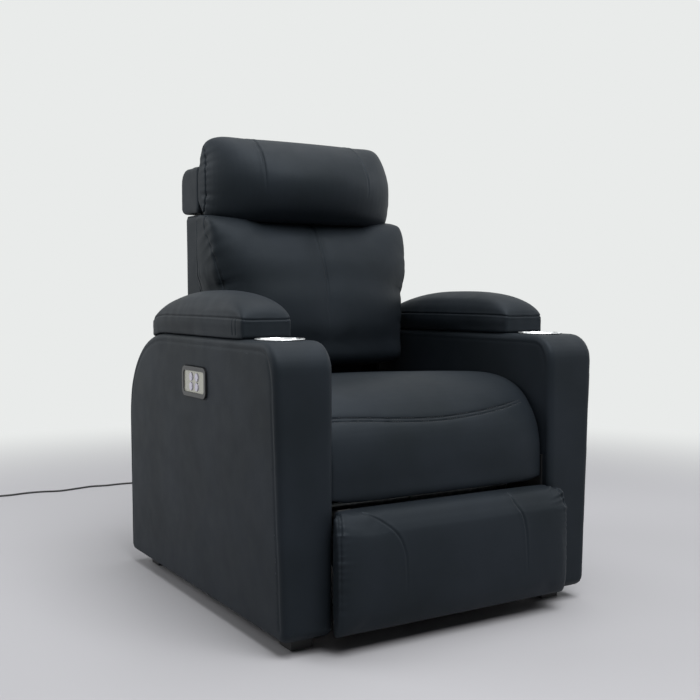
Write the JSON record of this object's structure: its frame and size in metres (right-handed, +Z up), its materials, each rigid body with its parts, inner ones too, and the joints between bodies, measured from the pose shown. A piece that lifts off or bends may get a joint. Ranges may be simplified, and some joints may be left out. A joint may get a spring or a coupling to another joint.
{
  "type": "cinema recliner seat",
  "caption": "Powered cinema recliner with wide padded arms, cup wells, folding leg rest, reclining back and tilting head bolster.",
  "frame": {"origin": "bottom centre of the seat's box without its power lead, on the floor", "axes": "+X to the sitter's left as seen from the front (the arm without the switch), -Y the way the sitter looks, +Z up"},
  "size_m": [1.0675, 1.9434, 1.0788],
  "materials": {
    "leather": "satin black coated leather with a fine pebble grain",
    "stainless": "polished stainless steel",
    "steel": "zinc plated mechanism steel",
    "black_steel": "black powder coat",
    "wood": "raw plywood",
    "black_plastic": "moulded black plastic",
    "dark_plastic": "dark grey moulded ABS",
    "switch_silver": "champagne silver painted plastic",
    "button_silver": "cool silver painted buttons",
    "flex": "black PVC lead sheath"
  },
  "bodies": {
    "base": {"arm_left": "leather", "arm_right": "leather", "foot_front_left": "black_plastic", "foot_rear_left": "black_plastic", "foot_front_right": "black_plastic", "foot_rear_right": "black_plastic", "armrest_pad_left": "leather", "armrest_pad_right": "leather", "cup_holder_left": "stainless", "cup_holder_right": "stainless", "switch_bezel": "dark_plastic", "switch_plate": "switch_silver", "side_plate_left": "steel", "side_plate_right": "steel", "seat_rail_front": "wood", "seat_rail_rear": "wood", "seat_spring_1": "black_steel", "seat_spring_2": "black_steel", "seat_spring_3": "black_steel", "seat_spring_4": "black_steel", "seat_cushion": "leather", "base_rail_front": "wood", "base_rail_rear": "wood", "actuator_rail": "black_steel", "actuator_motor": "black_plastic", "power_supply": "black_plastic", "cord_strain_relief": "flex", "power_cord": "flex", "cord_coil": "flex", "power_plug": "black_plastic"},
    "recline_button": {"button_recline": "button_silver"},
    "upright_button": {"button_upright": "button_silver"},
    "head_forward_button": {"button_head_forward": "button_silver"},
    "head_back_button": {"button_head_back": "button_silver"},
    "back": {"back_stile_left": "leather", "back_stile_right": "leather", "back_rail_top": "wood", "back_rail_bottom": "wood", "back_panel": "leather", "back_bracket_left": "steel", "back_bracket_right": "steel", "back_cushion": "leather", "headrest_hinge_fixed_leaf": "steel", "headrest_actuator": "black_plastic"},
    "headrest": {"headrest_board": "leather", "headrest_bolster": "leather", "headrest_hinge_moving_leaf": "steel"},
    "headrest_rod": {"headrest_actuator_rod": "steel"},
    "leg_drive": {"leg_torque_tube": "steel", "leg_drive_link_left": "steel", "leg_drive_link_right": "steel", "leg_knee_pin_left": "steel", "leg_knee_pin_right": "steel"},
    "leg_extension": {"leg_extension_link_left": "steel", "leg_extension_link_right": "steel"},
    "footrest": {"footrest_bracket_left": "steel", "footrest_bracket_right": "steel", "footrest_board": "wood", "footrest_cushion": "leather"},
    "slider": {"actuator_slider": "black_plastic"}
  },
  "joints": [
    {"name": "back_recline", "type": "hinge", "parent": "base", "child": "back", "pos_m": [0, 0.19768, 0.33], "axis": [-1, 0, 0], "range_deg": [0, 45]},
    {"name": "headrest_tilt", "type": "hinge", "parent": "back", "child": "headrest", "pos_m": [0, 0.19768, 0.8695], "axis": [1, 0, 0], "range_deg": [0, 25]},
    {"name": "headrest_rod_slide", "type": "slide", "parent": "back", "child": "headrest_rod", "axis": [0, 0, 1], "range_m": [0, 0.04]},
    {"name": "leg_rest_drive", "type": "hinge", "parent": "base", "child": "leg_drive", "pos_m": [0, -0.25232, 0.25], "axis": [-1, 0, 0], "range_deg": [0, 122.5]},
    {"name": "leg_extension_pivot", "type": "hinge", "parent": "leg_drive", "child": "leg_extension", "pos_m": [0, -0.1833, 0.10565], "axis": [-1, 0, 0], "range_deg": [-137.5, 0]},
    {"name": "footrest_pivot", "type": "hinge", "parent": "leg_extension", "child": "footrest", "pos_m": [0, -0.34231, 0.19], "axis": [-1, 0, 0], "range_deg": [0, 105]},
    {"name": "actuator_slide", "type": "slide", "parent": "base", "child": "slider", "axis": [0, -1, 0], "range_m": [0, 0.1055]},
    {"name": "recline_button_press", "type": "slide", "parent": "base", "child": "recline_button", "axis": [1, 0, 0], "range_m": [0, 0.0015], "stiffness_N_per_m": 1500},
    {"name": "upright_button_press", "type": "slide", "parent": "base", "child": "upright_button", "axis": [1, 0, 0], "range_m": [0, 0.0015], "stiffness_N_per_m": 1500},
    {"name": "head_forward_button_press", "type": "slide", "parent": "base", "child": "head_forward_button", "axis": [1, 0, 0], "range_m": [0, 0.0015], "stiffness_N_per_m": 1500},
    {"name": "head_back_button_press", "type": "slide", "parent": "base", "child": "head_back_button", "axis": [1, 0, 0], "range_m": [0, 0.0015], "stiffness_N_per_m": 1500}
  ],
  "couplings": [
    {"joint": "headrest_rod_slide", "follows": "headrest_tilt", "m_per_rad": 0.09},
    {"joint": "leg_extension_pivot", "follows": "leg_rest_drive", "ratio": -1.122},
    {"joint": "footrest_pivot", "follows": "leg_rest_drive", "ratio": 0.8567},
    {"joint": "actuator_slide", "follows": "leg_rest_drive", "m_per_rad": 0.04923}
  ]
}
